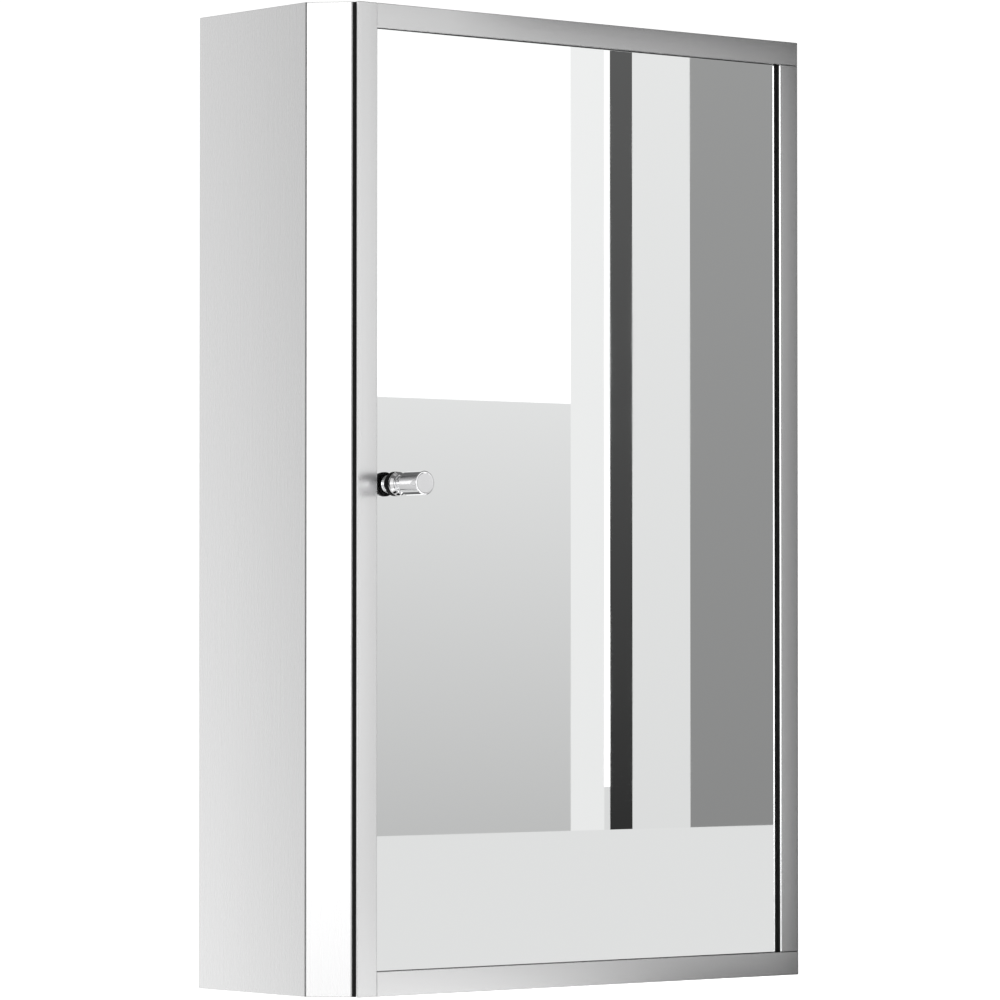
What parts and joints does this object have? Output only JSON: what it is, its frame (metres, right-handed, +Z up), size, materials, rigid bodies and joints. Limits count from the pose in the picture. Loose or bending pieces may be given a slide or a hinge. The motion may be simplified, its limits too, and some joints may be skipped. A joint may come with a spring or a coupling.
{
  "type": "medicine cabinet with mirror",
  "caption": "Wall-hung steel bathroom cabinet with bevelled front edges, inner shelves and one hinged, steel-framed mirror door with a round knob.",
  "frame": {"origin": "centre of the back face, which lies on the wall", "axes": "+Z up, +X to the right as seen from the room, +Y into the wall, so the door faces -Y"},
  "size_m": [0.4, 0.1637, 0.6],
  "materials": {
    "satin_steel": "satin stainless sheet, fine straight grain",
    "plain_steel": "plain steel, as rolled or plated",
    "chrome": "polished chrome plating",
    "mirror": "silvered float glass with polished edges",
    "black_rubber": "matt black extruded strip",
    "hardboard": "brown hardboard, smooth one side",
    "white_plastic": "moulded white plastic",
    "grey_plastic": "moulded grey plastic",
    "magnet": "dark sintered ferrite block"
  },
  "bodies": {
    "cabinet": {"side_shell_left": "satin_steel", "side_shell_right": "satin_steel", "top_shell": "satin_steel", "bottom_shell": "satin_steel", "back_panel": "satin_steel", "hanger_plate_left": "plain_steel", "hanger_plate_right": "plain_steel", "shelf_upper": "satin_steel", "shelf_pin_upper_left_front": "plain_steel", "shelf_pin_upper_left_rear": "plain_steel", "shelf_pin_upper_right_front": "plain_steel", "shelf_pin_upper_right_rear": "plain_steel", "shelf_lower": "satin_steel", "shelf_pin_lower_left_front": "plain_steel", "shelf_pin_lower_left_rear": "plain_steel", "shelf_pin_lower_right_front": "plain_steel", "shelf_pin_lower_right_rear": "plain_steel", "catch_housing_upper": "white_plastic", "catch_magnet_upper": "magnet", "catch_screw_upper_front": "plain_steel", "catch_screw_upper_rear": "plain_steel", "catch_housing_lower": "white_plastic", "catch_magnet_lower": "magnet", "catch_screw_lower_front": "plain_steel", "catch_screw_lower_rear": "plain_steel", "hinge_leaf_body": "satin_steel", "hinge_pin": "plain_steel"},
    "door": {"door_stile_left": "satin_steel", "door_stile_right": "satin_steel", "door_rail_top": "satin_steel", "door_rail_bottom": "satin_steel", "hinge_leaf_door": "satin_steel", "door_back_panel": "satin_steel", "glazing_strip_left": "black_rubber", "glazing_strip_right": "black_rubber", "glazing_strip_top": "black_rubber", "glazing_strip_bottom": "black_rubber", "door_seal_left": "black_rubber", "door_seal_top": "black_rubber", "door_seal_bottom": "black_rubber", "mirror_glass": "mirror", "backing_board": "hardboard", "corner_key_top_left": "grey_plastic", "panel_screw_top_left": "plain_steel", "corner_key_top_right": "grey_plastic", "panel_screw_top_right": "plain_steel", "corner_key_bottom_left": "grey_plastic", "panel_screw_bottom_left": "plain_steel", "corner_key_bottom_right": "grey_plastic", "panel_screw_bottom_right": "plain_steel", "knob_cap": "chrome", "knob_base": "chrome", "knob_foot": "chrome", "knob_washer": "black_rubber", "knob_screw": "plain_steel", "strike_plate_upper": "plain_steel", "strike_plate_lower": "plain_steel"}
  },
  "joints": [
    {"name": "door_hinge", "type": "hinge", "parent": "cabinet", "child": "door", "pos_m": [0.1803, -0.13, 0], "axis": [0, 0, 1], "range_deg": [0, 110]}
  ]
}
